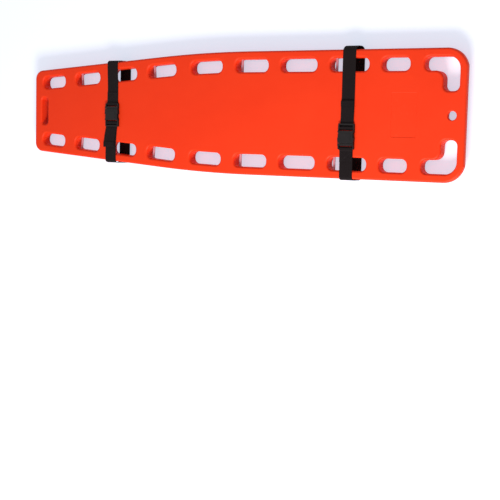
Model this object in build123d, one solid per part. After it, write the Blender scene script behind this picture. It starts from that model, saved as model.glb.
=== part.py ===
from build123d import *
import math
import os

# A spine board: one hollow moulded shell filled with foam, with strap pins in eight hand holes,
# and two webbing straps round it, each closed by a side release buckle.
# X runs from the foot end to the head end, Y across the board, and Z up from the floor.

# Board outline
board_length = 1831.0
board_width = 450.0
board_depth = 50.0
foot_width = 322.0
taper_length = 811.0
taper_blend_r = 5000.0
foot_corner_r = 35.0
head_facet_x = 16.4
head_facet_y = 58.3
head_corner_r = 74.0
head_vertex_r = 25.0
edge_r = 8.0
shell_wall = 4.0

# Head end, which is upright under the deck and then slants in to the underside
head_lip = 20.0
head_slant = 10.0

# Hand holes from the foot end: how much longer than the shortest hole each is, and how wide the
# bridge on its head side is. The holes share the length that the bridges leave them.
hand_holes = (
    (10.0, 54.0),
    (16.0, 55.0),
    (19.0, 53.0),
    (25.0, 68.0),
    (33.0, 57.0),
    (34.0, 51.5),
    (42.0, 50.5),
    (46.0, 47.5),
    (0.0, 51.5),
)
first_hole_gap = 40.0
hole_width = 47.0
hole_corner_r = 21.0
rail_width = 28.5
rim_r = 8.0
under_rim_r = 5.0

# L-shaped holes in the head corners
corner_hole_head_gap = 26.0
corner_hole_length = 125.0
corner_hole_reach = 115.0
corner_hole_across = 57.0
corner_hole_outer_r = 42.0
corner_hole_inner_r = 28.0
corner_hole_end_r = 20.0

# Hand slot across the foot end
foot_slot_width = 31.0
foot_slot_side_gap = 31.5
foot_slot_corner_r = 12.0
foot_slot_gap = 33.5

# Round hole at the head end, with a funnel under it
head_hole_r = 15.5
head_hole_gap = 47.0
head_hole_rim_r = 4.0
head_hole_wall = 12.0
head_hole_flare = 12.0

# Plate recess in the deck
recess_head_gap = 172.0
recess_length = 92.0
recess_width = 152.0
recess_depth = 1.0
recess_corner_r = 3.0

# Runners under the board, which stop short of its ends and of the straps
runner_end_gap = 120.0
runner_strap_gap = 44.0
runner_height = 12.0
runner_width = 30.0
runner_spacing = 140.0
runner_end_r = 12.0
runner_edge_r = 3.0

# Strap pins
pinned_holes = (1, 3, 5, 7)
pin_r = 4.5
pin_inset = 18.0
pin_seat = 9.0
pin_fit = 0.05

# Filler plug in the underside
plug_foot_gap = 300.0
plug_stem_r = 11.0
plug_head_r = 17.0
plug_head_depth = 2.0
plug_key_width = 8.0
plug_key_depth = 1.2
plug_fit = 0.1

# Webbing
webbing_width = 50.0
webbing_thickness = 1.8
soft_gap = 0.3
bend_r = 2.4
tail_length = 90.0
sewn_length = 38.0

# Straps: the hand hole that each lies by and how far it lies from the hole's centre, the side
# that the buckle's female half faces, the buckle's place across the board, how far towards the
# head the strand underneath lies, and the gap and the bend at each rail
strap_holes = (7, 2)
chest_loop_gap = 12.0
chest_edge_gap = 3.0
leg_edge_gap = 1.5
straps = {
    "chest": dict(
        hole=strap_holes[0],
        offset=0.5,
        way=1,
        buckle_y=-77.0,
        under=12.0,
        gap={1: chest_loop_gap, -1: chest_edge_gap},
        bend={1: 20.0, -1: 10.0},
    ),
    "leg": dict(
        hole=strap_holes[1],
        offset=-48.0,
        way=-1,
        buckle_y=-13.0,
        under=22.0,
        gap={1: leg_edge_gap, -1: leg_edge_gap},
        bend={1: 9.0, -1: 9.0},
    ),
}
strap_joint_inset = 26.0
strap_joint_gap = 0.2

# Buckle, with its places along the strap counted from the middle of the closed buckle
buckle_half = 45.0
male_length = 22.0
bar_width = 5.0
grip_bar_width = 6.0
bar_height = 4.5
slot_width = 7.0
side_rail_width = 5.0
slot_play = 0.5
mouth_inset = 1.0
body_bulge = 1.0
pocket_side_wall = 2.7
pocket_floor = 3.0
pocket_height = 7.0
pocket_roof = 3.0
pocket_end_wall = 4.0
window_length = 18.0
window_end_gap = 2.0
panel_length = 26.0
panel_width = 38.0
panel_height = 0.8
buckle_edge_r = 1.2
frame_corner_r = 3.0
base_step = 1.0
tongue_half_width = 10.0
tongue_tip_gap = 4.0
moving_gap = 0.4
arm_root_r = 3.0
arm_root_inset = 5.8
arm_root_depth = 1.0
arm_gap = 0.3
arm_tip_gap = 2.5
pad_inset = 1.1
pad_step = 0.5
pad_end_gap = 8.0

# Places worked out from the sizes above
half_length = board_length / 2
half_width = board_width / 2
under_z = runner_height
deck_z = runner_height + board_depth
taper_x = -half_length + taper_length
taper_angle = math.degrees(math.atan2((board_width - foot_width) / 2, taper_length))
blend_run = taper_blend_r * math.tan(math.radians(taper_angle / 2))
centre_inset = rail_width + hole_width / 2
foot_slot_length = foot_width - 2 * (rail_width + hole_width + foot_slot_side_gap)
first_hole_start = -half_length + first_hole_gap
corner_hole_start = half_length - corner_hole_head_gap - corner_hole_length
holes_room = corner_hole_start - first_hole_start
shared_room = holes_room - sum(longer + bridge for longer, bridge in hand_holes)
shortest_hole = shared_room / len(hand_holes)
lip_z = deck_z - head_lip
head_hole_x = half_length - head_hole_gap
recess_x = half_length - recess_head_gap - recess_length / 2
plug_x = -half_length + plug_foot_gap


def edge_at(x):
    """The half width of the board at x, and the slope of its edge there in degrees."""
    if x <= taper_x - blend_run * math.cos(math.radians(taper_angle)):
        return half_width - (taper_x - x) * math.tan(math.radians(taper_angle)), taper_angle
    if x >= taper_x + blend_run:
        return half_width, 0.0
    run = taper_x + blend_run - x
    drop = taper_blend_r - math.sqrt(taper_blend_r**2 - run**2)
    return half_width - drop, math.degrees(math.asin(run / taper_blend_r))


def outline():
    """The board seen from above."""
    foot = foot_width / 2
    corners = (
        (-half_length, -foot, foot_corner_r),
        (taper_x, -half_width, taper_blend_r),
        (half_length - head_facet_x, -half_width, head_corner_r),
        (half_length, -half_width + head_facet_y, head_vertex_r),
        (half_length, half_width - head_facet_y, head_vertex_r),
        (half_length - head_facet_x, half_width, head_corner_r),
        (taper_x, half_width, taper_blend_r),
        (-half_length, foot, foot_corner_r),
    )
    line = FilletPolyline(
        *[(x, y) for x, y, _ in corners], radius=[r for _, _, r in corners], close=True
    )
    return make_face(line)


def hole_length(index):
    """How long a hand hole is."""
    return shortest_hole + hand_holes[index][0]


def hole_centre(index):
    """Where along the board a hand hole's centre lies."""
    before = sum(shortest_hole + longer + bridge for longer, bridge in hand_holes[:index])
    return first_hole_start + before + hole_length(index) / 2


def hole_place(index, side):
    """Where a hand hole's centre lies and which way the hole points."""
    x = hole_centre(index)
    edge, slope = edge_at(x)
    y = edge - centre_inset / math.cos(math.radians(slope))
    return Pos(x, side * y) * Rot(0, 0, side * slope)


def hand_hole(index, side, grow=0.0):
    """A hand hole's outline, wider all round by grow."""
    shape = RectangleRounded(
        hole_length(index) + 2 * grow, hole_width + 2 * grow, hole_corner_r + grow
    )
    return hole_place(index, side) * shape


def corner_hole(side, grow=0.0):
    """The L-shaped hole in a head corner, wider all round by grow."""
    head = half_length - corner_hole_head_gap + grow
    foot = head - corner_hole_length - 2 * grow
    outer = half_width - rail_width + grow
    inner = outer - hole_width - 2 * grow
    across = head - corner_hole_across - 2 * grow
    reach = outer - corner_hole_reach - 2 * grow
    corners = (
        (foot, outer, corner_hole_end_r + grow),
        (head, outer, corner_hole_outer_r + grow),
        (head, reach, corner_hole_end_r + grow),
        (across, reach, corner_hole_end_r + grow),
        (across, inner, corner_hole_inner_r - grow),
        (foot, inner, corner_hole_end_r + grow),
    )
    line = FilletPolyline(
        *[(x, side * y) for x, y, _ in corners], radius=[r for _, _, r in corners], close=True
    )
    return make_face(line)


def foot_slot(grow=0.0):
    """The hand slot across the foot end, wider all round by grow."""
    x = -half_length + foot_slot_gap + foot_slot_width / 2
    shape = RectangleRounded(
        foot_slot_width + 2 * grow, foot_slot_length + 2 * grow, foot_slot_corner_r + grow
    )
    return Pos(x, 0) * shape


def grips(grow=0.0):
    """Every opening for a hand, all straight through the board."""
    holes = [hand_hole(i, side, grow) for i in range(len(hand_holes)) for side in (1, -1)]
    return holes + [corner_hole(side, grow) for side in (1, -1)] + [foot_slot(grow)]


def head_end_cut(inset=0.0):
    """The room that the head end's slant takes away, further in by an inset."""
    face = offset(outline(), -inset, kind=Kind.ARC) if inset else outline()
    way = Vector(-head_slant, 0, under_z - lip_z)
    kept = extrude(Pos(0, 0, lip_z) * face, way.length, dir=way.normalized())
    start, end = corner_hole_start, half_length + edge_r
    room = Pos((start + end) / 2, 0, under_z) * Box(
        end - start,
        board_width + 2 * edge_r,
        lip_z - under_z,
        align=(Align.CENTER, Align.CENTER, Align.MIN),
    )
    return room - kept


def head_hole_cut(grow=0.0):
    """The round hole's room: a short bore and a funnel down to the underside."""
    x = head_hole_x
    bore_end = deck_z - head_hole_wall
    drop = bore_end - under_z
    bore = Pos(x, 0, bore_end) * Cylinder(
        head_hole_r + grow, head_hole_wall, align=(Align.CENTER, Align.CENTER, Align.MIN)
    )
    funnel = Pos(x, 0, under_z) * Cone(
        head_hole_r + grow + head_hole_flare,
        head_hole_r + grow,
        drop,
        align=(Align.CENTER, Align.CENTER, Align.MIN),
    )
    return bore, funnel


def strap_x(strap):
    """Where along the board a strap lies."""
    return hole_centre(strap["hole"]) + strap["offset"]


def runner_spans():
    """Where each row of runners starts and ends, clear of the straps that pass under the board."""
    ends = [-half_length + runner_end_gap, half_length - runner_end_gap]
    for strap in straps.values():
        middle = strap_x(strap) + strap["under"]
        clear = webbing_width / 2 + runner_strap_gap
        ends += [middle - clear, middle + clear]
    ends.sort()
    return zip(ends[::2], ends[1::2])


def runners(inset=0.0):
    """The runners, or the room inside them where an inset is given."""
    made = []
    for start, end in runner_spans():
        for side in (1, -1):
            shape = RectangleRounded(
                end - start - 2 * inset, runner_width - 2 * inset, runner_end_r - inset
            )
            place = Pos((start + end) / 2, side * runner_spacing / 2, inset)
            made.append(place * extrude(shape, under_z + edge_r - inset))
    return made


def pin_rods(r):
    """The strap pins' rods, by name."""
    made = {}
    for side, word in ((1, "left"), (-1, "right")):
        for order, index in enumerate(pinned_holes, 1):
            along = -hole_length(index) / 2 + pin_inset
            place = Pos(0, 0, under_z + board_depth / 2) * hole_place(index, side) * Pos(along, 0)
            rod = Rot(90, 0, 0) * Cylinder(r, hole_width + 2 * pin_seat)
            made[f"strap_pin_{word}_{order}"] = place * rod
    return made


def foam_core():
    """The foam, which fills the shell."""
    face = offset(outline(), -shell_wall, kind=Kind.ARC)
    for hole in grips(shell_wall):
        face -= hole
    core = Pos(0, 0, under_z + shell_wall) * extrude(face, board_depth - 2 * shell_wall)
    core -= head_end_cut(shell_wall)
    for rib in runners(shell_wall):
        core += rib
    for cut in head_hole_cut(shell_wall):
        core -= cut
    return core


def rim_edges(face):
    """The edges round every opening in a face of the board."""
    return [edge for wire in face.inner_wires() for edge in wire.edges()]


def head_hole_rim(deck):
    """The edge of the round hole in the deck."""
    found = []
    for wire in deck.inner_wires():
        middle = wire.bounding_box().center()
        if math.hypot(middle.X - head_hole_x, middle.Y) < head_hole_r:
            found += wire.edges()
    return found


def board_outside():
    """The board's outside, with every opening, the runners and the plate recess."""
    face = outline()
    for hole in grips():
        face -= hole
    slab = Pos(0, 0, under_z) * extrude(face, board_depth) - head_end_cut()
    top = slab.faces().sort_by(Axis.Z)[-1]
    bottom = slab.faces().sort_by(Axis.Z)[0]
    slab = fillet(top.outer_wire().edges() + bottom.outer_wire().edges(), edge_r)
    slab = fillet(rim_edges(slab.faces().sort_by(Axis.Z)[-1]), rim_r)
    slab = fillet(rim_edges(slab.faces().sort_by(Axis.Z)[0]), under_rim_r)
    for cut in head_hole_cut():
        slab -= cut
    slab = fillet(head_hole_rim(slab.faces().sort_by(Axis.Z)[-1]), head_hole_rim_r)
    for runner in runners():
        slab += runner
    slab = fillet(slab.edges().group_by(Axis.Z)[0], runner_edge_r)
    plate = extrude(RectangleRounded(recess_length, recess_width, recess_corner_r), recess_depth)
    return slab - Pos(recess_x, 0, deck_z - recess_depth) * plate


def plug_room(fit=0.0):
    """The filler plug's head and stem, wider all round by a fit."""
    foot = (Align.CENTER, Align.CENTER, Align.MIN)
    head = Pos(plug_x, 0, under_z) * Cylinder(plug_head_r + fit, plug_head_depth, align=foot)
    stem = Pos(plug_x, 0, under_z) * Cylinder(plug_stem_r + fit, shell_wall, align=foot)
    return head + stem


def filler_plug():
    """The plug, with a square key hole in its face."""
    key = extrude(Rectangle(plug_key_width, plug_key_width), plug_key_depth)
    return plug_room() - Pos(plug_x, 0, under_z) * key


def board_parts():
    """The shell, the foam, the plug and the strap pins."""
    core = foam_core()
    shell = board_outside() - core
    for rod in pin_rods(pin_r + pin_fit).values():
        shell -= rod
        core -= rod
    shell -= plug_room(plug_fit)
    return {
        "board_shell": shell,
        "foam_core": core,
        "filler_plug": filler_plug(),
        **pin_rods(pin_r),
    }


# Heights of the webbing and the buckle above the deck
strand_z = deck_z + soft_gap + webbing_thickness / 2
layer_z = strand_z + webbing_thickness + soft_gap
low_strand_z = under_z - soft_gap - webbing_thickness / 2
bar_z = strand_z + webbing_thickness / 2 + soft_gap
end_bar_z = layer_z + webbing_thickness / 2 + soft_gap
over_bar_z = bar_z + bar_height + soft_gap + webbing_thickness / 2
buckle_z = deck_z + soft_gap
frame_top = end_bar_z + bar_height
pocket_z = buckle_z + pocket_floor
body_height = pocket_floor + pocket_height + pocket_roof

# Places along the closed buckle
thread_gap = webbing_thickness / 2 + 2 * soft_gap
body_end = buckle_half - bar_width - grip_bar_width - 2 * slot_width
grip_bar_y = body_end + slot_width
mouth_y = male_length - buckle_half
base_front = mouth_y - base_step
base_slot_y = -buckle_half + bar_width
pocket_end = body_end - pocket_end_wall
window_end = pocket_end - window_end_gap
window_start = window_end - window_length
tongue_tip_y = pocket_end - tongue_tip_gap
arm_axis_y = base_front - arm_root_depth
arm_tip_y = pocket_end - arm_tip_gap
pad_start = window_start + pad_step
pad_end = pocket_end - pad_end_gap

# Places across the buckle
slot_half_width = webbing_width / 2 + slot_play
frame_half_width = slot_half_width + side_rail_width
mouth_half_width = frame_half_width - mouth_inset
body_half_width = frame_half_width + body_bulge
pocket_half_width = frame_half_width - pocket_side_wall
arm_axis_x = pocket_half_width - arm_root_inset
pad_half_width = body_half_width - pad_inset


def strap_edge(strap):
    """The half width of the board at the widest place that a strap crosses."""
    return edge_at(strap_x(strap) + max(strap["under"], 0) + webbing_width / 2)[0]


def band(points, radii, strap):
    """Webbing bent along a line seen from the end of the board."""
    line = FilletPolyline(*points, radius=radii)
    face = Plane.YZ * trace(line, line_width=webbing_thickness)
    reach = webbing_width / 2 + abs(strap["under"])
    return Pos(strap_x(strap), 0, 0) * extrude(face, reach, both=True)


def strap_room(strap):
    """The room that a strap keeps to: straight on the deck, and set over as it goes under."""
    x, half, lean = strap_x(strap), webbing_width / 2, strap["under"]
    above = deck_z + 2 * board_depth
    corners = (
        (x - half, above),
        (x - half, deck_z),
        (x + lean - half, under_z),
        (x + lean - half, 0),
        (x + lean + half, 0),
        (x + lean + half, under_z),
        (x + half, deck_z),
        (x + half, above),
    )
    return extrude(Plane.XZ * Polygon(*corners, align=None), board_width, both=True)


def webbing(strap):
    """The long band: round both rails, through the adjuster and out as the loose tail."""
    way, middle, edge = strap["way"], strap["buckle_y"], strap_edge(strap)
    reach = {side: side * (edge + strap["gap"][side] + webbing_thickness / 2) for side in (1, -1)}
    inner = middle + way * (grip_bar_y - thread_gap)
    outer = middle + way * (grip_bar_y + grip_bar_width + thread_gap)
    points = (
        (-way * (edge - strap_joint_inset), strand_z),
        (reach[-way], strand_z),
        (reach[-way], low_strand_z),
        (reach[way], low_strand_z),
        (reach[way], strand_z),
        (inner, strand_z),
        (inner, over_bar_z),
        (outer, over_bar_z),
        (outer, layer_z),
        (outer + way * tail_length, layer_z),
    )
    rails = [strap["bend"][-way]] * 2 + [strap["bend"][way]] * 2
    return band(points, rails + [bend_r] * 4, strap) & strap_room(strap)


def sewn_end(strap):
    """The short strand that is sewn round the bar of the buckle's male half."""
    way, middle = strap["way"], strap["buckle_y"]
    start = -way * (strap_edge(strap) - strap_joint_inset - strap_joint_gap)
    inner = middle + way * (base_slot_y + thread_gap)
    outer = middle - way * (buckle_half + thread_gap)
    landing = outer - way * bar_height
    points = (
        (start, strand_z),
        (inner, strand_z),
        (inner, over_bar_z),
        (outer, over_bar_z),
        (landing, layer_z),
        (landing - way * sewn_length, layer_z),
    )
    return band(points, [bend_r] * 4, strap) & strap_room(strap)


def block(half_width_x, y_from, y_to, z_from, z_to):
    """A block centred across the strap, between two places along it and two heights."""
    face = Pos(0, (y_from + y_to) / 2) * Rectangle(2 * half_width_x, abs(y_to - y_from))
    return Pos(0, 0, z_from) * extrude(face, z_to - z_from)


def side_block(side, x_from, x_to, y_from, y_to, z_from, z_to):
    """A block on one side of the strap's middle."""
    face = Pos(side * (x_from + x_to) / 2, (y_from + y_to) / 2)
    face = face * Rectangle(x_to - x_from, y_to - y_from)
    return Pos(0, 0, z_from) * extrude(face, z_to - z_from)


def outer_corners(frame, y):
    """The two upright edges at the outer corners of a frame's end."""
    upright = frame.edges().filter_by(Axis.Z)
    ends = [e for e in upright if abs(e.center().Y - y) < slot_play]
    return [e for e in ends if abs(e.center().X) > frame_half_width - slot_play]


def buckle_female():
    """The socket with its pocket, side windows, grip bar and end bar."""
    right = ThreePointArc(
        (mouth_half_width, mouth_y), (body_half_width, 0), (frame_half_width, body_end)
    )
    left = ThreePointArc(
        (-frame_half_width, body_end), (-body_half_width, 0), (-mouth_half_width, mouth_y)
    )
    end = Line((frame_half_width, body_end), (-frame_half_width, body_end))
    mouth = Line((-mouth_half_width, mouth_y), (mouth_half_width, mouth_y))
    body = Pos(0, 0, buckle_z) * extrude(make_face(right + end + left + mouth), body_height)
    body = fillet(body.edges().group_by(Axis.Z)[-1], buckle_edge_r)
    top = buckle_z + body_height
    for side in (1, -1):
        body += side_block(
            side, slot_half_width, frame_half_width, body_end, buckle_half, buckle_z, frame_top
        )
    grip_bar_end = grip_bar_y + grip_bar_width
    body += block(slot_half_width, grip_bar_y, grip_bar_end, bar_z, bar_z + bar_height)
    body += block(slot_half_width, buckle_half - bar_width, buckle_half, end_bar_z, frame_top)
    body = fillet(outer_corners(body, buckle_half), frame_corner_r)
    panel = RectangleRounded(panel_width, panel_length, buckle_edge_r)
    body += Pos(0, (mouth_y + body_end) / 2, top) * extrude(panel, panel_height)
    body -= block(pocket_half_width, mouth_y, pocket_end, pocket_z, pocket_z + pocket_height)
    for side in (1, -1):
        body -= side_block(
            side, pocket_half_width, frame_half_width * 2, window_start, window_end, 0, 2 * top
        )
    return body


def male_cross(y_from, y_to):
    """The male half's cross piece between two places along the strap."""
    return block(frame_half_width, y_from, y_to, buckle_z, buckle_z + body_height - base_step)


def buckle_male():
    """The plug's base with its sewing bar, its middle tongue and two seats for the arms."""
    cross_start = base_slot_y + slot_width
    base = male_cross(cross_start, base_front)
    for side in (1, -1):
        base += side_block(
            side, slot_half_width, frame_half_width, -buckle_half, cross_start, buckle_z, frame_top
        )
    base += block(slot_half_width, -buckle_half, base_slot_y, bar_z, bar_z + bar_height)
    base = fillet(outer_corners(base, -buckle_half), frame_corner_r)
    low = pocket_z + moving_gap
    high = pocket_z + pocket_height - moving_gap
    tongue = Pos(0, (base_front + tongue_tip_y) / 2) * Rectangle(
        2 * tongue_half_width, tongue_tip_y - base_front
    )
    tongue = fillet(tongue.vertices().group_by(Axis.Y)[-1], tongue_half_width / 2)
    base += Pos(0, 0, low) * extrude(tongue, high - low)
    seat = extrude(Circle(arm_root_r + arm_gap), high - low + 2 * arm_gap)
    for side in (1, -1):
        base -= Pos(side * arm_axis_x, arm_axis_y, low - arm_gap) * seat
    return base


def latch_arm(side):
    """A latch arm: its root in the base, its pad in the window and its lead-in tip."""
    low = pocket_z + moving_gap
    high = pocket_z + pocket_height - moving_gap
    neck = arm_root_r - 2 * arm_gap
    inner_x = arm_axis_x - neck
    outer_x = pocket_half_width - 2 * moving_gap
    corners = (
        (inner_x, arm_axis_y),
        (arm_axis_x + neck, arm_axis_y),
        (outer_x, (arm_axis_y + pad_start) / 2),
        (outer_x, pad_start),
        (pad_half_width, pad_start),
        (pad_half_width, pad_end),
        (outer_x, arm_tip_y),
        (inner_x + arm_root_r / 2, arm_tip_y),
    )
    face = Polygon(*corners, align=None) + Pos(arm_axis_x, arm_axis_y) * Circle(arm_root_r)
    face = face if side > 0 else mirror(face, about=Plane.YZ)
    return Pos(0, 0, low) * extrude(face, high - low)


def strap_parts(name, strap):
    """A strap's webbing and the pieces of its buckle."""
    turn = 0 if strap["way"] > 0 else 180
    place = Pos(strap_x(strap), strap["buckle_y"], 0) * Rot(0, 0, turn)
    return {
        f"{name}_strap_webbing": webbing(strap),
        f"{name}_strap_sewn_end": sewn_end(strap),
        f"{name}_buckle_female": place * buckle_female(),
        f"{name}_buckle_male": place * buckle_male(),
        f"{name}_latch_arm_a": place * latch_arm(1),
        f"{name}_latch_arm_b": place * latch_arm(-1),
    }


parts = board_parts()
for strap_name, strap_sizes in straps.items():
    parts.update(strap_parts(strap_name, strap_sizes))

os.makedirs("parts", exist_ok=True)
for node, shape in parts.items():
    export_step(shape, f"parts/{node}.step")
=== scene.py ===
import math

import bmesh
import bpy
from mathutils import Matrix, Vector, noise
from mathutils.geometry import delaunay_2d_cdt


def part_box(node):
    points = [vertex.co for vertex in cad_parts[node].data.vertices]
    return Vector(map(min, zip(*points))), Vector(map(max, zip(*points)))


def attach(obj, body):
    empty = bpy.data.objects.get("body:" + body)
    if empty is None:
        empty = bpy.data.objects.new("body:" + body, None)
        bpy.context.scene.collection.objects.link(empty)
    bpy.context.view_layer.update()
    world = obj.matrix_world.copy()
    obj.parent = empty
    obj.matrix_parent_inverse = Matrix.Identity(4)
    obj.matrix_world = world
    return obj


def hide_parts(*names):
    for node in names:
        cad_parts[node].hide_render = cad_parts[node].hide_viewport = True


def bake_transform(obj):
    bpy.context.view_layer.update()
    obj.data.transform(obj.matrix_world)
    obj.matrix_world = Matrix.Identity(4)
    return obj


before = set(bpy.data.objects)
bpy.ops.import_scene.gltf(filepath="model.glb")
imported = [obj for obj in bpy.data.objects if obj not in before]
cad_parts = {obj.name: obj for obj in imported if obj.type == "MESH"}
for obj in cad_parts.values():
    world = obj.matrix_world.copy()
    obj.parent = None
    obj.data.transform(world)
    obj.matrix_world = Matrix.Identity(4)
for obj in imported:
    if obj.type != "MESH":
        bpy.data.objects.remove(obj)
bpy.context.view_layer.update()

# Board shell, its outline
# The board is one hollow moulding. It is widest at the head end and the chest, and narrows
# towards the foot end. Its rails are rounded, and all its corners are soft.
shell_low, shell_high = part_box("board_shell")
half_length = shell_high.x
half_width = shell_high.y
deck_z = shell_high.z
runner_height = 0.012
under_z = shell_low.z + runner_height
foot_half_width = 0.161
taper_length = 0.811
taper_x = -half_length + taper_length
taper_slope = (half_width - foot_half_width) / (taper_x + half_length)
taper_blend_r = 5.0
taper_angle = math.atan(taper_slope)
blend_run = taper_blend_r * math.tan(taper_angle / 2)
head_facet_x = 0.0164
head_facet_y = 0.0583
foot_corner_r = 0.035
head_side_r = 0.074
head_end_r = 0.025
arc_step = math.radians(6)


def edge_at(x):
    """The half width of the board at x, and the slope of its edge there."""
    if x <= taper_x - blend_run * math.cos(taper_angle):
        return half_width - (taper_x - x) * taper_slope, taper_angle
    if x >= taper_x + blend_run:
        return half_width, 0.0
    run = taper_x + blend_run - x
    drop = taper_blend_r - math.sqrt(taper_blend_r**2 - run**2)
    return half_width - drop, math.asin(run / taper_blend_r)


def rounded(corners, fewest=2):
    """A closed anticlockwise outline with rounded corners: each point and its way outwards."""
    loop = []
    for i, (x, y, r) in enumerate(corners):
        here = Vector((x, y))
        before = (Vector(corners[i - 1][:2]) - here).normalized()
        after = (Vector(corners[(i + 1) % len(corners)][:2]) - here).normalized()
        half = before.angle(after) / 2
        centre = here + (before + after).normalized() * (r / math.sin(half))
        arm = here + before * (r / math.tan(half)) - centre
        bulge = 1 if before.cross(after) < 0 else -1
        turn = bulge * (math.pi - 2 * half)
        steps = max(fewest, math.ceil(abs(turn) / arc_step))
        for k in range(steps + 1):
            spoke = Matrix.Rotation(turn * k / steps, 2) @ arm
            loop.append((centre + spoke, spoke.normalized() * bulge))
    return loop


board_loop = rounded(
    (
        (-half_length, -foot_half_width, foot_corner_r),
        (taper_x, -half_width, taper_blend_r),
        (half_length - head_facet_x, -half_width, head_side_r),
        (half_length, -half_width + head_facet_y, head_end_r),
        (half_length, half_width - head_facet_y, head_end_r),
        (half_length - head_facet_x, half_width, head_side_r),
        (taper_x, half_width, taper_blend_r),
        (-half_length, foot_half_width, foot_corner_r),
    ),
    fewest=8,
)

# Hand holes
# Nine down each side, an L in each head corner, a slot across the foot end and one round hole for
# hanging the board up. They are moulded through, with wide rims that a gloved hand can pull on.
hole_width = 0.047
hole_corner_r = 0.021
rail_width = 0.0285
centre_inset = rail_width + hole_width / 2
longer_and_bridge = (
    (0.010, 0.0540),
    (0.016, 0.0550),
    (0.019, 0.0530),
    (0.025, 0.0680),
    (0.033, 0.0570),
    (0.034, 0.0515),
    (0.042, 0.0505),
    (0.046, 0.0475),
    (0.000, 0.0515),
)
first_hole_gap = 0.040
first_hole_start = -half_length + first_hole_gap
corner_head_gap = 0.026
corner_length = 0.125
corner_reach = 0.115
corner_across = 0.057
corner_end_r = 0.020
corner_inner_r = 0.028
corner_outer_r = 0.042
corner_start = half_length - corner_head_gap - corner_length
unshared = sum(longer + bridge for longer, bridge in longer_and_bridge)
shortest_hole = (corner_start - first_hole_start - unshared) / len(longer_and_bridge)


def hole_length(index):
    """How long a hand hole is."""
    return shortest_hole + longer_and_bridge[index][0]


def hole_centre(index):
    """Where along the board a hand hole's centre lies."""
    before = sum(shortest_hole + longer + bridge for longer, bridge in longer_and_bridge[:index])
    return first_hole_start + before + hole_length(index) / 2


def box_corners(length, width, r):
    """The four rounded corners of an outline centred on the origin."""
    x, y = length / 2, width / 2
    return (-x, -y, r), (x, -y, r), (x, y, r), (-x, y, r)


def placed(loop, x, y, turn=0.0):
    """A loop turned and moved to its place."""
    spin = Matrix.Rotation(turn, 2)
    return [(spin @ point + Vector((x, y)), spin @ away) for point, away in loop]


def mirrored(loop, side):
    """A loop as it is, or the same on the other side of the board."""
    if side > 0:
        return loop
    flip = Matrix(((1, 0), (0, -1)))
    return [(flip @ point, flip @ away) for point, away in reversed(loop)]


def hand_hole(index, side):
    """A hand hole, square to the rail that it lies by."""
    x = hole_centre(index)
    edge, slope = edge_at(x)
    shape = rounded(box_corners(hole_length(index), hole_width, hole_corner_r))
    return mirrored(placed(shape, x, edge - centre_inset / math.cos(slope), slope), side)


def corner_hole(side):
    """The L-shaped hole in a head corner."""
    head = half_length - corner_head_gap
    outer = half_width - rail_width
    inner = outer - hole_width
    reach = outer - corner_reach
    shape = rounded(
        (
            (corner_start, inner, corner_end_r),
            (head - corner_across, inner, corner_inner_r),
            (head - corner_across, reach, corner_end_r),
            (head, reach, corner_end_r),
            (head, outer, corner_outer_r),
            (corner_start, outer, corner_end_r),
        )
    )
    return mirrored(shape, side)


head_hole_gap = 0.047
head_hole_r = 0.0155
head_hole_x = half_length - head_hole_gap
foot_slot_gap = 0.0335
foot_slot_width = 0.031
foot_slot_length = 0.108
foot_slot_r = 0.012
foot_slot_x = -half_length + foot_slot_gap + foot_slot_width / 2
foot_slot_shape = rounded(box_corners(foot_slot_width, foot_slot_length, foot_slot_r))
foot_slot = placed(foot_slot_shape, foot_slot_x, 0)
grips = [hand_hole(i, side) for i in range(len(longer_and_bridge)) for side in (1, -1)]
grips += [corner_hole(side) for side in (1, -1)] + [foot_slot]
head_hole_shape = rounded(box_corners(2 * head_hole_r, 2 * head_hole_r, head_hole_r))
head_hole = placed(head_hole_shape, head_hole_x, 0)

# Board shell, its skin
# Each rim, wall and rail is a run of rings. The deck and the underside fill the room between the
# outermost rings. A parting line stands out all round, where the two halves of the mould met.
# The head end is upright under the deck, and then slants in to the underside.
edge_r = 0.008
under_edge_r = 0.0065
rim_r = 0.008
under_rim_r = 0.005
head_slant = 0.010
lip_depth = 0.020
lip_z = deck_z - lip_depth
lip_softness = 0.001
funnel_r = 0.004
funnel_depth = 0.012
rim_flat = 0.0006
arc_rings = 8
parting_height = 0.0003
parting_width = 0.0008
deck_sag = 0.00025
grid_step = 0.03
skin = bmesh.new()


def top_arc(r, top, inwards=1):
    """Rings from a flat top over a rounded edge to an upright wall."""
    rings = [(inwards * (r + rim_flat), top)]
    for k in range(arc_rings + 1):
        angle = math.pi / 2 * k / arc_rings
        rings.append((inwards * r * (1 - math.sin(angle)), top - r * (1 - math.cos(angle))))
    return rings


def low_arc(r, bottom, inwards=1):
    """Rings from an upright wall round to a flat underside."""
    return [(away, 2 * bottom - z) for away, z in reversed(top_arc(r, bottom, inwards))]


def head_lean(place, z):
    """How far the head end has slanted back at a height."""
    below_lip = max(0.0, lip_z - z) / (lip_z - under_z)
    return head_slant * below_lip if place.x > corner_start else 0.0


def wall(loop, profile, leans=False):
    """Rings round a loop, one for each step of the profile, joined by faces."""
    rings = []
    for away, z in profile:
        spots = [place + out * away for place, out in loop]
        if leans:
            spots = [spot - Vector((head_lean(spot, z), 0)) for spot in spots]
        rings.append([skin.verts.new((*spot, z)) for spot in spots])
    for upper, lower in zip(rings, rings[1:]):
        for i in range(len(loop)):
            skin.faces.new((upper[i - 1], upper[i], lower[i], lower[i - 1]))
    return rings[0], rings[-1]


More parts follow.
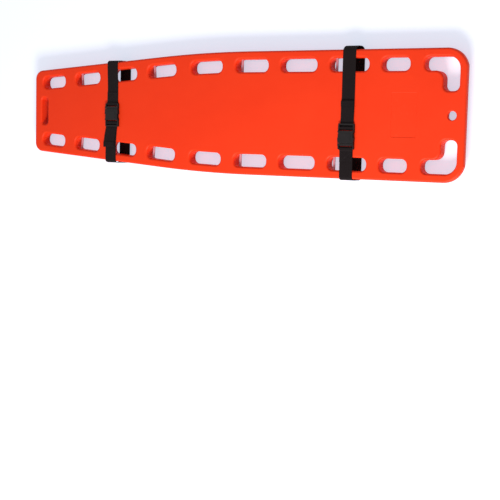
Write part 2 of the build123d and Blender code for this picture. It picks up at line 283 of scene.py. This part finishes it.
def flat(rings, z, sag=0.0):
    """A flat face between rings, with even points inside it that sag a little."""
    points, loops = [], []
    for ring in rings:
        loops.append(list(range(len(points), len(points) + len(ring))))
        points += [vert.co.xy for vert in ring]
    xs, ys = [p.x for p in points], [p.y for p in points]
    x = min(xs) + grid_step
    while x < max(xs):
        y = min(ys) + grid_step
        while y < max(ys):
            points.append(Vector((x, y)))
            y += grid_step
        x += grid_step
    count = sum(len(loop) for loop in loops)
    verts, _, faces, origins, _, _ = delaunay_2d_cdt(points, [], loops, 2, 1e-7)
    made = []
    for vert, origin in zip(verts, origins):
        inside = all(index >= count for index in origin)
        drop = sag * noise.noise(Vector((vert.x * 7, vert.y * 9, 0))) if inside else 0.0
        made.append(skin.verts.new((vert.x, vert.y, z + drop)))
    for face in faces:
        skin.faces.new([made[i] for i in face])


deck_rings, under_rings = [], []
mid_z = (deck_z + under_z) / 2
outside = top_arc(edge_r, deck_z, -1)
outside += [(0, lip_z + lip_softness), (0, lip_z - lip_softness)]
outside += [(0, mid_z + parting_width), (parting_height, mid_z), (0, mid_z - parting_width)]
outside += low_arc(under_edge_r, under_z, -1)
straight = top_arc(rim_r, deck_z) + low_arc(under_rim_r, under_z)
funnel = top_arc(funnel_r, deck_z) + [
    (0.0, deck_z - funnel_depth),
    (0.0105, under_z + 0.0012),
    (0.0118, under_z),
    (0.0124, under_z),
]
walls = [(board_loop, outside, True), (head_hole, funnel, False)]
walls += [(loop, straight, False) for loop in grips]
for loop, profile, leans in walls:
    top_ring, low_ring = wall(loop, profile, leans)
    deck_rings.append(top_ring)
    under_rings.append(low_ring)

# Plate recess and runners
# A shallow rectangular step in the deck takes a plate or a pad. Six runners under the board, in
# two rows, lift the rails off the floor so that fingers get under them.
recess_head_gap = 0.172
recess_length = 0.092
recess_width = 0.152
recess_depth = 0.001
recess_r = 0.003
recess_x = half_length - recess_head_gap - recess_length / 2
recess = placed(rounded(box_corners(recess_length, recess_width, recess_r)), recess_x, 0)
recess_profile = (
    (0.0018, deck_z),
    (0.0004, deck_z),
    (0.0001, deck_z - 0.0002),
    (0.0, deck_z - recess_depth + 0.0002),
    (-0.0003, deck_z - recess_depth),
    (-0.0015, deck_z - recess_depth),
)
step_top, step_floor = wall(recess, recess_profile)
deck_rings.append(step_top)
flat([step_floor], deck_z - recess_depth)

runner_width = 0.030
runner_r = 0.012
runner_y = 0.070
runner_foot_r = 0.003
runner_end_gap = 0.120
runner_strap_gap = 0.044
webbing_width = 0.050
past_hole = {"chest": 0.0005, "leg": -0.048}
strap_x = {"chest": hole_centre(7) + past_hole["chest"], "leg": hole_centre(2) + past_hole["leg"]}
under_lean = {"chest": 0.012, "leg": 0.022}
runner_ends = [-half_length + runner_end_gap, half_length - runner_end_gap]
for strap, x in strap_x.items():
    clear = webbing_width / 2 + runner_strap_gap
    runner_ends += [x + under_lean[strap] - clear, x + under_lean[strap] + clear]
runner_ends.sort()
runner_profile = [
    (0.0030, under_z),
    (0.0016, under_z),
    (0.0005, under_z - 0.0005),
    (0, under_z - 0.0016),
]
runner_profile += [(-away, z) for away, z in low_arc(runner_foot_r, 0.0)]
for start, end in zip(runner_ends[::2], runner_ends[1::2]):
    for side in (1, -1):
        shape = rounded(box_corners(end - start, runner_width, runner_r))
        shape = placed(shape, (start + end) / 2, side * runner_y)
        root, foot = wall(shape, runner_profile)
        under_rings.append(root)
        flat([foot], 0.0)

# Filler plug's seat
# The foam went in through a hole in the underside, which a screwed plug closes. The seat is a
# round step, and the plug itself is the solid part.
plug_foot_gap = 0.300
plug_x = -half_length + plug_foot_gap
seat_r = 0.0171
seat_step = 0.0020
seat_depth = 0.0041
seat_loop = placed(rounded(box_corners(2 * seat_r, 2 * seat_r, seat_r)), plug_x, 0)
seat_profile = (
    (0.0016, under_z),
    (0.0003, under_z),
    (0.0, under_z + 0.0003),
    (0.0, under_z + seat_step),
    (-0.0060, under_z + seat_step),
    (-0.0060, under_z + seat_depth),
)
seat_rim, seat_top = wall(seat_loop, seat_profile)
under_rings.append(seat_rim)
flat([seat_top], under_z + seat_depth)
flat(deck_rings, deck_z, sag=deck_sag)
flat(under_rings, under_z, sag=deck_sag)
bmesh.ops.remove_doubles(skin, verts=skin.verts, dist=1e-6)
bmesh.ops.delete(skin, geom=[v for v in skin.verts if not v.link_faces], context="VERTS")
bmesh.ops.recalc_face_normals(skin, faces=skin.faces)


def new_piece(name, mesh_maker):
    """A smooth object made from a bmesh."""
    mesh = bpy.data.meshes.new(name)
    mesh_maker.to_mesh(mesh)
    mesh_maker.free()
    mesh.shade_smooth()
    mesh.set_sharp_from_angle(angle=math.radians(40))
    piece = bpy.data.objects.new(name, mesh)
    bpy.context.scene.collection.objects.link(piece)
    return piece


shell = new_piece("moulded_shell", skin)


# Shell plastic
# Red-orange polyethylene, coloured all through. Moulding leaves a fine pebbled grain and slow
# waves in the gloss, and use leaves the rails and rims a little paler and smoother.
class Value:
    """A socket of a node tree. Arithmetic on it adds the Math nodes."""

    def __init__(self, tree, socket=None):
        self.tree = tree
        self.socket = socket

    def node(self, kind, settings, inputs, output=0):
        """Any node: its settings come first, then the values or links of its sockets."""
        made = self.tree.nodes.new(kind)
        for name, setting in settings.items():
            setattr(made, name, setting)
        for name, value in inputs.items():
            if isinstance(value, Value):
                self.tree.links.new(value.socket, made.inputs[name])
            else:
                made.inputs[name].default_value = value
        return Value(self.tree, None if output is None else made.outputs[output])

    def maths(self, operation, *values, clamp=False):
        """A Math node on some values."""
        settings = {"operation": operation, "use_clamp": clamp}
        return self.node("ShaderNodeMath", settings, dict(enumerate(values)))

    def __add__(self, other):
        return self.maths("ADD", self, other)

    def __sub__(self, other):
        return self.maths("SUBTRACT", self, other)

    def __rsub__(self, other):
        return self.maths("SUBTRACT", other, self)

    def __mul__(self, other):
        return self.maths("MULTIPLY", self, other)

    def __truediv__(self, other):
        return self.maths("DIVIDE", self, other)

    __radd__ = __add__
    __rmul__ = __mul__


def new_finish(name):
    """A material, its main shader and a value to start its nodes from."""
    made = bpy.data.materials.new(name)
    made.use_nodes = True
    return made, made.node_tree.nodes["Principled BSDF"], Value(made.node_tree)


def dress(shader, **sockets):
    """Sets or links the main shader's sockets."""
    for name, value in sockets.items():
        socket = shader.inputs[name.replace("_", " ")]
        if isinstance(value, Value):
            value.tree.links.new(value.socket, socket)
        else:
            socket.default_value = value


def noise_of(start, where, scale, detail=2.0, roughness=0.5):
    """Even noise about 0.5."""
    inputs = {"Vector": where, "Scale": scale, "Detail": detail, "Roughness": roughness}
    return start.node("ShaderNodeTexNoise", {}, inputs)


def mixed(start, factor, first, second):
    """A colour between two others."""
    settings = {"data_type": "RGBA"}
    return start.node("ShaderNodeMix", settings, {0: factor, 6: first, 7: second}, 2)


def bumped(start, height):
    """A normal from a height in metres."""
    inputs = {"Height": height, "Distance": 1.0, "Strength": 1.0}
    return start.node("ShaderNodeBump", {}, inputs)


shell_finish, shader, start = new_finish("shell_plastic")
where = start.node("ShaderNodeTexCoord", {}, {}, "Object")
height = start.node("ShaderNodeSeparateXYZ", {}, {"Vector": where}, "Z")
clouds = noise_of(start, where, 5.0, 3.0)
specks = noise_of(start, where, 420.0, 2.0)
grain = noise_of(start, where, 1500.0, 2.0, 0.6)
waves = noise_of(start, where, 16.0, 1.0)
scuffs = noise_of(start, where, 60.0, 6.0, 0.7)
rail = start.maths("MULTIPLY", (deck_z - height), 1 / 0.004, clamp=True)
worn = start.maths("MULTIPLY_ADD", scuffs, 5.0, -2.9, clamp=True) * rail
body_red = mixed(start, clouds, (0.87, 0.036, 0.005, 1), (0.94, 0.048, 0.008, 1))
speckled = mixed(start, specks * 0.12, body_red, (0.72, 0.025, 0.005, 1))
dress(
    shader,
    Base_Color=mixed(start, worn * 0.35, speckled, (0.95, 0.16, 0.08, 1)),
    Roughness=0.40 + 0.10 * clouds + 0.06 * specks - 0.08 * worn,
    Specular_IOR_Level=0.17,
    Normal=bumped(start, grain * 0.00006 + waves * 0.0012 + specks * 0.00004),
)
shell.data.materials.append(shell_finish)
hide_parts("board_shell")
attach(shell, "board")

# Foam core
# Rigid foam, poured into the shell through the hole in the underside, where it sets hard against
# the walls. It keeps the thin shell stiff, and it doesn't show.
foam_finish, shader, start = new_finish("rigid_foam")
where = start.node("ShaderNodeTexCoord", {}, {}, "Object")
cells = start.node("ShaderNodeTexVoronoi", {}, {"Vector": where, "Scale": 900.0}, "Distance")
dress(
    shader,
    Base_Color=mixed(start, cells, (0.74, 0.64, 0.42, 1), (0.86, 0.79, 0.60, 1)),
    Roughness=0.9,
    Normal=bumped(start, cells * 0.0003),
)


def refinish(nodes, finish):
    """CAD nodes that keep their shape and get a finish."""
    for name in nodes:
        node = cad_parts[name]
        node.data.materials.clear()
        node.data.materials.append(finish)


refinish(["foam_core"], foam_finish)

# Strap pins
# A plain rod of mauve nylon across every second hand hole, moulded into the walls at both ends, for
# the clips of the patient straps, which rub it to an uneven shine.
pin_names = [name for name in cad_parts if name.startswith("strap_pin")]
pin_finish, shader, start = new_finish("pin_nylon")
where = start.node("ShaderNodeTexCoord", {}, {}, "Object")
rubbed = noise_of(start, where, 240.0, 3.0)
dress(
    shader,
    Base_Color=mixed(start, rubbed, (0.50, 0.20, 0.25, 1), (0.62, 0.30, 0.34, 1)),
    Roughness=0.28 + 0.16 * rubbed,
    Normal=bumped(start, rubbed * 0.00008),
)
refinish(pin_names, pin_finish)

# Filler plug
# A black moulded plug, screwed into the filling hole flush with the underside. It has a square key
# hole for the tool that turns it in, and faint turning rings on its face.
plug_finish, shader, start = new_finish("plug_plastic")
where = start.node("ShaderNodeTexCoord", {}, {}, "Object")
turned = start.node(
    "ShaderNodeMapping", {}, {"Vector": where, "Location": (-plug_x, 0, 0)}
)
rings = start.node(
    "ShaderNodeTexWave",
    {"wave_type": "RINGS", "rings_direction": "Z"},
    {"Vector": turned, "Scale": 160.0, "Distortion": 0.3},
    1,
)
dress(
    shader,
    Base_Color=mixed(start, rings, (0.010, 0.010, 0.011, 1), (0.020, 0.020, 0.021, 1)),
    Roughness=0.42 + 0.12 * rings,
    Normal=bumped(start, rings * 0.00005),
)
refinish(["filler_plug"], plug_finish)

# Webbing
# Flat black polypropylene webbing, 50 mm wide, woven in narrow ribs along its length with a round
# selvedge at each edge. Each strap is one length round the board, cut in two here at the joint.
webbing_thickness = 0.0018
soft_gap = 0.0003
strand_z = deck_z + soft_gap + webbing_thickness / 2
layer_z = strand_z + webbing_thickness + soft_gap
low_strand_z = under_z - soft_gap - webbing_thickness / 2
bar_height = 0.0045
over_bar_z = strand_z + webbing_thickness + 2 * soft_gap + bar_height
thread_gap = webbing_thickness / 2 + 2 * soft_gap
bend_r = 0.0024
run_step = 0.005
bend_step = math.radians(9)
drift_smoothings = 60
rib_points = 4
selvedge_points = 8
rib_pitch = 0.0041
rib_depth = 0.00022
selvedge = 0.0016


def bent_line(points, radii):
    """A line with rounded bends through (x, y, z) points, as samples of place and direction.

    The bends lie in the plane across the board, and x follows smoothly.
    """
    flat_points = [Vector((y, z)) for _, y, z in points]
    spots = []
    for i, here in enumerate(flat_points):
        r = radii[i - 1] if 0 < i < len(points) - 1 else 0.0
        if not r:
            spots.append((here, here, points[i][0], 0.0, None))
            continue
        before = (flat_points[i - 1] - here).normalized()
        after = (flat_points[i + 1] - here).normalized()
        half = before.angle(after) / 2
        centre = here + (before + after).normalized() * (r / math.sin(half))
        reach = r / math.tan(half)
        turn = (math.pi - 2 * half) * (1 if before.cross(after) < 0 else -1)
        spots.append((here + before * reach, here + after * reach, points[i][0], turn, centre))
    places, xs = [], []
    for i, (entry, _, x, turn, centre) in enumerate(spots):
        if i:
            start, x_start = spots[i - 1][1], spots[i - 1][2]
            steps = max(1, round((entry - start).length / run_step))
            for k in range(1, steps):
                places.append(start.lerp(entry, k / steps))
                xs.append(x_start + (x - x_start) * k / steps)
        if centre is None:
            places.append(entry)
            xs.append(x)
            continue
        steps = max(3, math.ceil(abs(turn) / bend_step))
        for k in range(steps + 1):
            places.append(centre + Matrix.Rotation(turn * k / steps, 2) @ (entry - centre))
            xs.append(x)
    for _ in range(drift_smoothings):
        inner = [(a + 2 * b + c) / 4 for a, b, c in zip(xs, xs[1:], xs[2:])]
        xs = [xs[0], *inner, xs[-1]]
    return [Vector((x, *place)) for x, place in zip(xs, places)]


def section():
    """The webbing's cut end: ribs above and below, and a round selvedge at each side."""
    half = webbing_width / 2
    steps = round((webbing_width - 2 * selvedge) / rib_pitch) * rib_points
    top = []
    for k in range(steps + 1):
        s = -half + selvedge + (webbing_width - 2 * selvedge) * k / steps
        valley = 0.5 - 0.5 * math.cos(2 * math.pi * k / rib_points)
        top.append((s, webbing_thickness / 2 - rib_depth * (1 - valley)))
    round_side = []
    for k in range(1, selvedge_points):
        angle = math.pi * (0.5 - k / selvedge_points)
        reach = selvedge * math.cos(angle)
        round_side.append((half - selvedge + reach, webbing_thickness / 2 * math.sin(angle)))
    low = [(s, -t) for s, t in reversed(top)]
    other_side = [(-s, -t) for s, t in round_side]
    return top + round_side + low + other_side


def ribbon(name, points, radii):
    """Webbing along a bent line, with its own length and width as its texture map."""
    line = bent_line(points, radii)
    cut = section()
    made = bmesh.new()
    map_layer = made.loops.layers.uv.new("UVMap")
    rings, lengths, run = [], [], 0.0
    for i, place in enumerate(line):
        ahead = line[min(i + 1, len(line) - 1)] - line[max(i - 1, 0)]
        run += (place - line[i - 1]).length if i else 0.0
        away = Vector((0, -ahead.z, ahead.y)).normalized()
        rings.append([made.verts.new(place + Vector((s, 0, 0)) + away * t) for s, t in cut])
        lengths.append(run)
    for i in range(len(rings) - 1):
        for k in range(len(cut)):
            corners = ((i, k - 1), (i, k), (i + 1, k), (i + 1, k - 1))
            face = made.faces.new([rings[a][b] for a, b in corners])
            for loop, (a, b) in zip(face.loops, corners):
                loop[map_layer].uv = (cut[b][0], lengths[a])
    for ring in (rings[0], rings[-1]):
        face = made.faces.new(ring)
        for loop, (s, t) in zip(face.loops, cut):
            loop[map_layer].uv = (s, t)
    bmesh.ops.recalc_face_normals(made, faces=made.faces)
    return new_piece(name, made)


webbing_finish, shader, start = new_finish("webbing_weave")
spot = start.node("ShaderNodeUVMap", {"uv_map": "UVMap"}, {})
across = start.node("ShaderNodeSeparateXYZ", {}, {"Vector": spot}, "X")
along = start.node("ShaderNodeSeparateXYZ", {}, {"Vector": spot}, "Y")
warp_pitch = rib_pitch / 4
weft_pitch = 0.0017
column = across / warp_pitch
shift = start.maths("FLOOR", column) * 0.5
warp = start.maths("ABSOLUTE", start.maths("SINE", column * math.pi))
weft = start.maths("ABSOLUTE", start.maths("SINE", (along / weft_pitch + shift) * math.pi))
fibres = start.node(
    "ShaderNodeMapping", {}, {"Vector": spot, "Scale": (9000.0, 500.0, 1.0)}
)
fuzz = noise_of(start, fibres, 1.0, 2.0)
patches = noise_of(start, spot, 30.0, 2.0)
thread = start.maths("POWER", warp, 0.6) * start.maths("POWER", weft, 0.5)
# Painted shade and highlight: the weave's colour is darker in the gaps between threads and lighter
# on their crowns, as light would make it. A random fibre tone lies on top.
weave_shade_and_fuzz = thread * (0.5 + 0.5 * fuzz)
cloth = mixed(start, weave_shade_and_fuzz, (0.0020, 0.0012, 0.0014, 1), (0.0140, 0.0075, 0.0085, 1))
dress(
    shader,
    Base_Color=mixed(start, patches * 0.35, cloth, (0.0120, 0.0070, 0.0072, 1)),
    Roughness=0.62 + 0.22 * fuzz,
    Specular_IOR_Level=0.11,
    Sheen_Weight=0.02,
    Sheen_Roughness=0.45,
    Normal=bumped(start, thread * 0.00028 + fuzz * 0.00006),
)


buckle_half = 0.045


def buckle_place(strap, way):
    """The middle of the closed buckle along the strap."""
    low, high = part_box(f"{strap}_buckle_female")
    return high.y - buckle_half if way > 0 else low.y + buckle_half


straps = {
    "chest": dict(way=1, gap={1: 0.012, -1: 0.003}, bend={1: 0.020, -1: 0.010}),
    "leg": dict(way=-1, gap={1: 0.0015, -1: 0.0015}, bend={1: 0.009, -1: 0.009}),
}
joint_inset = 0.026
adjuster_ramp = 0.020
adjuster_bar = (0.027, 0.033)
loop_ramp = 0.033
loop_bar = (0.040, 0.045)
sewn_overlap = 0.038
tail_length = 0.090
tail_turn = 0.45
hem_length = 0.020
hem_lift = 0.0012
hem_gap = 0.0002
hem_fold_r = webbing_thickness / 2 + 0.00005
drift = {
    "chest": dict(start=0.0, rail_a=0.0, under=0.012, rail_b=0.001, run=0.0015, tail=0.001),
    "leg": dict(
        start=-0.003, rail_a=-0.004, under=0.022, rail_b=-0.0085, run=-0.0075, tail=-0.0155
    ),
}
sewn_ends, hem_ends = {}, {}
for strap, sizes in straps.items():
    way, x, lean = sizes["way"], strap_x[strap], drift[strap]
    middle = buckle_place(strap, way)
    edge = edge_at(x + under_lean[strap] + webbing_width / 2)[0]
    reach = {
        side: side * (edge + sizes["gap"][side] + webbing_thickness / 2) for side in (1, -1)
    }
    joint = -way * (edge - joint_inset)
    inner = middle + way * (adjuster_bar[0] - thread_gap)
    outer = middle + way * (adjuster_bar[1] + thread_gap)
    tail_end = outer + way * tail_length
    fold_z = layer_z + hem_lift
    hem_z = fold_z + webbing_thickness + hem_gap
    rail_run = (reach[way] - inner) / 3
    points = (
        (x + lean["start"], joint, strand_z),
        (x + lean["rail_a"], reach[-way], strand_z),
        (x + under_lean[strap], reach[-way], low_strand_z),
        (x + under_lean[strap], reach[way], low_strand_z),
        (x + lean["rail_b"], reach[way], strand_z),
        (x + lean["rail_b"], reach[way] - rail_run, strand_z),
        (x + lean["run"], reach[way] - 2 * rail_run, strand_z),
        (x, middle + way * (adjuster_ramp + thread_gap), strand_z),
        (x, inner, over_bar_z),
        (x, outer, over_bar_z),
        (x, outer, layer_z),
        (x + lean["tail"], outer + way * tail_length * tail_turn, layer_z),
        (x + lean["tail"], tail_end, fold_z),
        (x + lean["tail"], tail_end, hem_z),
        (x + lean["tail"], tail_end - way * hem_length, fold_z + webbing_thickness),
    )
    radii = [sizes["bend"][-way]] * 2 + [sizes["bend"][way]] * 2 + [0.0, 0.0]
    radii += [bend_r] * 4 + [0.0] + [hem_fold_r] * 2
    band = ribbon(f"{strap}_webbing_band", points, radii)
    band.data.materials.append(webbing_finish)
    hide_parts(f"{strap}_strap_webbing")
    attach(band, "board")

    sewn_inner = middle - way * (loop_bar[0] - thread_gap)
    sewn_outer = middle - way * (loop_bar[1] + thread_gap)
    landing = sewn_outer - way * bar_height
    points = (
        (x + lean["start"], joint, strand_z),
        (x, (joint + sewn_inner) / 2, strand_z),
        (x, middle - way * (loop_ramp + thread_gap), strand_z),
        (x, sewn_inner, over_bar_z),
        (x, sewn_outer, over_bar_z),
        (x, landing, layer_z),
        (x, landing - way * sewn_overlap, layer_z),
    )
    sewn = ribbon(f"{strap}_sewn_loop", points, [0.0] + [bend_r] * 4)
    sewn.data.materials.append(webbing_finish)
    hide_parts(f"{strap}_strap_sewn_end")
    start, end = (x, joint, strand_z), (x, landing, strand_z)
    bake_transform(sewn)
    sewn_ends[strap] = (joint, landing)
    hem_ends[strap] = (tail_end, hem_z)

# Seams
# Bonded black thread holds each sewn end down with a box and a cross, and each tail's hem with two
# rows. Every stitch is a short run of thread, pulled half way into the webbing.
thread_r = 0.00045
stitch_length = 0.0030
stitch_pitch = 0.0040
seam_inset = 0.0050
hem_rows = (0.006, 0.015)


def row_tree(name, along):
    """A node tree that sets short rods in a row, along the row or upright."""
    tree = bpy.data.node_groups.new(name, "GeometryNodeTree")
    tree.interface.new_socket("Row", in_out="INPUT", socket_type="NodeSocketGeometry")
    for size in ("Pitch", "Rod length", "Rod radius"):
        tree.interface.new_socket(size, in_out="INPUT", socket_type="NodeSocketFloat")
    tree.interface.new_socket("Finish", in_out="INPUT", socket_type="NodeSocketMaterial")
    tree.interface.new_socket("Rods", in_out="OUTPUT", socket_type="NodeSocketGeometry")
    start = Value(tree)
    pitch = start.node("NodeGroupInput", {}, {}, "Pitch")
    line = start.node(
        "GeometryNodeMeshToCurve", {}, {"Mesh": start.node("NodeGroupInput", {}, {}, "Row")}
    )
    places = start.node(
        "GeometryNodeResampleCurve", {"mode": "LENGTH"}, {"Curve": line, "Length": pitch}
    )
    rod_sizes = {
        "Vertices": 8,
        "Radius": start.node("NodeGroupInput", {}, {}, "Rod radius"),
        "Depth": start.node("NodeGroupInput", {}, {}, "Rod length"),
    }
    rod = start.node("GeometryNodeMeshCylinder", {"fill_type": "TRIANGLE_FAN"}, rod_sizes)
    placing = {"Points": places, "Instance": rod}
    if along:
        tangent = start.node("GeometryNodeInputTangent", {}, {})
        placing["Rotation"] = start.node(
            "FunctionNodeAlignRotationToVector", {"axis": "Z"}, {"Vector": tangent}
        )
    rods = start.node("GeometryNodeInstanceOnPoints", {}, placing)
    rods = start.node("GeometryNodeRealizeInstances", {}, {"Geometry": rods})
    finish = start.node("NodeGroupInput", {}, {}, "Finish")
    rods = start.node("GeometryNodeSetMaterial", {}, {"Geometry": rods, "Material": finish})
    start.node("NodeGroupOutput", {}, {"Rods": rods}, None)
    return tree


def rods_on(name, rows, tree, sizes):
    """The rods that a tree sets along some rows, as a plain mesh."""
    drawn = bmesh.new()
    for row in rows:
        spots = [drawn.verts.new(spot) for spot in row]
        for a, b in zip(spots, spots[1:]):
            drawn.edges.new((a, b))
    mesh = bpy.data.meshes.new(name)
    drawn.to_mesh(mesh)
    drawn.free()
    carrier = bpy.data.objects.new(name, mesh)
    bpy.context.scene.collection.objects.link(carrier)
    modifier = carrier.modifiers.new("rods", "NODES")
    modifier.node_group = tree
    for item in tree.interface.items_tree:
        if item.name in sizes:
            modifier[item.identifier] = sizes[item.name]
    evaluated = carrier.evaluated_get(bpy.context.evaluated_depsgraph_get())
    made = bpy.data.meshes.new_from_object(evaluated)
    carrier.modifiers.clear()
    carrier.data = made
    made.shade_smooth()
    made.set_sharp_from_angle(angle=math.radians(60))
    return carrier


thread_finish, shader, start = new_finish("bonded_thread")
where = start.node("ShaderNodeTexCoord", {}, {}, "Object")
twist = noise_of(start, where, 3000.0, 2.0)
dress(
    shader,
    Base_Color=mixed(start, twist, (0.004, 0.003, 0.003, 1), (0.022, 0.014, 0.015, 1)),
    Roughness=0.45 + 0.2 * twist,
    Specular_IOR_Level=0.2,
    Normal=bumped(start, twist * 0.0001),
)
stitch_tree = row_tree("stitch_rows", along=True)
stitch_sizes = {
    "Pitch": stitch_pitch,
    "Rod length": stitch_length,
    "Rod radius": thread_r,
    "Finish": thread_finish,
}
for strap, sizes in straps.items():
    way, x = sizes["way"], strap_x[strap]
    side = webbing_width / 2 - seam_inset
    joint, landing = sewn_ends[strap]
    near, far = landing - way * seam_inset, landing - way * (sewn_overlap - seam_inset)
    top = layer_z + webbing_thickness / 2
    left_near, left_far = (x - side, near, top), (x - side, far, top)
    right_near, right_far = (x + side, near, top), (x + side, far, top)
    box = (left_near, right_near, right_far, left_far, left_near)
    cross = ((left_near, right_far), (right_near, left_far))
    stitches = rods_on(f"{strap}_sewn_stitches", (box, *cross), stitch_tree, stitch_sizes)
    start, end = (x, joint, strand_z), (x, landing, strand_z)
    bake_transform(stitches)
    tail_end, hem_z = hem_ends[strap]
    hem_x = x + drift[strap]["tail"]
    rows = []
    for inset in hem_rows:
        y, z = tail_end - way * inset, hem_z + webbing_thickness / 2
        rows.append(((hem_x - side, y, z), (hem_x + side, y, z)))
    stitches = rods_on(f"{strap}_hem_stitches", rows, stitch_tree, stitch_sizes)
    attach(stitches, "board")

# Side release buckles
# Black acetal, injection moulded: a socket with an adjuster bar, a plug with its two latch arms.
# The faces have a fine spark texture, which handling has polished in patches.
buckle_finish, shader, start = new_finish("buckle_acetal")
where = start.node("ShaderNodeTexCoord", {}, {}, "Object")
spark = noise_of(start, where, 2600.0, 2.0, 0.6)
handled = noise_of(start, where, 90.0, 3.0)
dress(
    shader,
    Base_Color=mixed(start, handled, (0.0045, 0.0032, 0.0035, 1), (0.0105, 0.0075, 0.0080, 1)),
    Roughness=0.34 + 0.14 * handled + 0.08 * spark,
    Specular_IOR_Level=0.22,
    Normal=bumped(start, spark * 0.00003),
)
buckle_nodes = [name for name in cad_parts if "buckle" in name or "latch" in name]
refinish(buckle_nodes, buckle_finish)

# Grip ribs
# Seven fine ribs across each latch pad, moulded in one with it, keep a wet thumb from slipping.
# Each is a thin upright rod, sunk past its middle into the pad's outer face.
rib_sizes = {"Pitch": 0.0015, "Rod length": 0.0044, "Rod radius": 0.0005, "Finish": buckle_finish}
rib_tree = row_tree("rib_row", along=False)
pad_reach = 0.0304
pad_start, pad_end = -0.0024, 0.0069
rib_sink = 0.0002
for strap, sizes in straps.items():
    way, middle = sizes["way"], buckle_place(strap, sizes["way"])
    for arm, side in (("a", 1), ("b", -1)):
        low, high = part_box(f"{strap}_latch_arm_{arm}")
        x = strap_x[strap] + way * side * (pad_reach - rib_sink)
        z = (low.z + high.z) / 2
        row = ((x, middle + way * pad_start, z), (x, middle + way * pad_end, z))
        ribs = rods_on(f"{strap}_pad_ribs_{arm}", (row,), rib_tree, rib_sizes)
        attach(ribs, f"{strap}_arm_{arm}")

# Floor, light and camera
# A plain pale floor, one broad soft lamp over the right rail and a soft even sky. The camera looks
# down at the board from high above its head end.
floor_drop = 0.0002
floor_maker = bmesh.new()
bmesh.ops.create_grid(floor_maker, x_segments=2, y_segments=2, size=20.0)
floor = new_piece("floor", floor_maker)
floor.location.z = -floor_drop


def seen(start):
    """One where the backdrop is looked at, also in a reflection or through glass."""
    rays = ("Is Camera Ray", "Is Glossy Ray", "Is Transmission Ray")
    looks = [start.node("ShaderNodeLightPath", {}, {}, ray) for ray in rays]
    return start.maths("MAXIMUM", start.maths("MAXIMUM", looks[0], looks[1]), looks[2])


floor_finish, shader, start = new_finish("pale_floor")
dress(shader, Base_Color=(0.62, 0.62, 0.62, 1), Roughness=0.9, Specular_IOR_Level=0.1)
plain = Value(start.tree, shader.outputs[0])
glow = start.node("ShaderNodeEmission", {}, {"Color": (0.50, 0.545, 0.66, 1), "Strength": 1.0})
lit_floor = start.node("ShaderNodeAddShader", {}, {0: glow, 1: plain})
blend = start.node("ShaderNodeMixShader", {}, {0: seen(start), 1: plain, 2: lit_floor})
output = floor_finish.node_tree.nodes["Material Output"]
floor_finish.node_tree.links.new(blend.socket, output.inputs["Surface"])
floor.data.materials.append(floor_finish)

world = bpy.data.worlds.new("soft_sky")
bpy.context.scene.world = world
world.use_nodes = True
sky = world.node_tree.nodes["Background"]
sky_start = Value(world.node_tree)
sky_light = 0.45
seen_sky = sky_light + (1 - sky_light) * seen(sky_start)
world.node_tree.links.new(seen_sky.socket, sky.inputs["Strength"])
sky.inputs["Color"].default_value = (1.0, 1.0, 1.0, 1)

lamp = bpy.data.lights.new("soft_lamp", "AREA")
lamp.shape = "RECTANGLE"
lamp.size = 1.4
lamp.size_y = 0.9
lamp.energy = 95.0
lamp_object = bpy.data.objects.new("soft_lamp", lamp)
lamp_object.location = (0.9, -2.2, 1.9)
aim = Vector((0.2, 0.0, 0.0)) - lamp_object.location
lamp_object.rotation_euler = aim.to_track_quat("-Z", "Y").to_euler()
bpy.context.scene.collection.objects.link(lamp_object)

camera = bpy.data.cameras.new("camera")
camera.sensor_width = 36.0
camera.lens = 80.51
camera_object = bpy.data.objects.new("camera", camera)
right = Vector((0.8700, 0.0246, -0.4924))
up = Vector((-0.0699, 0.9948, -0.0739))
back = right.cross(up)
eye = (2.1302, -0.0938, 3.6491)
turned = Matrix((right, up, back)).transposed().to_4x4()
camera_object.matrix_world = Matrix.Translation(eye) @ turned
bpy.context.scene.collection.objects.link(camera_object)
bpy.context.scene.camera = camera_object
bpy.context.scene.view_settings.view_transform = "Standard"
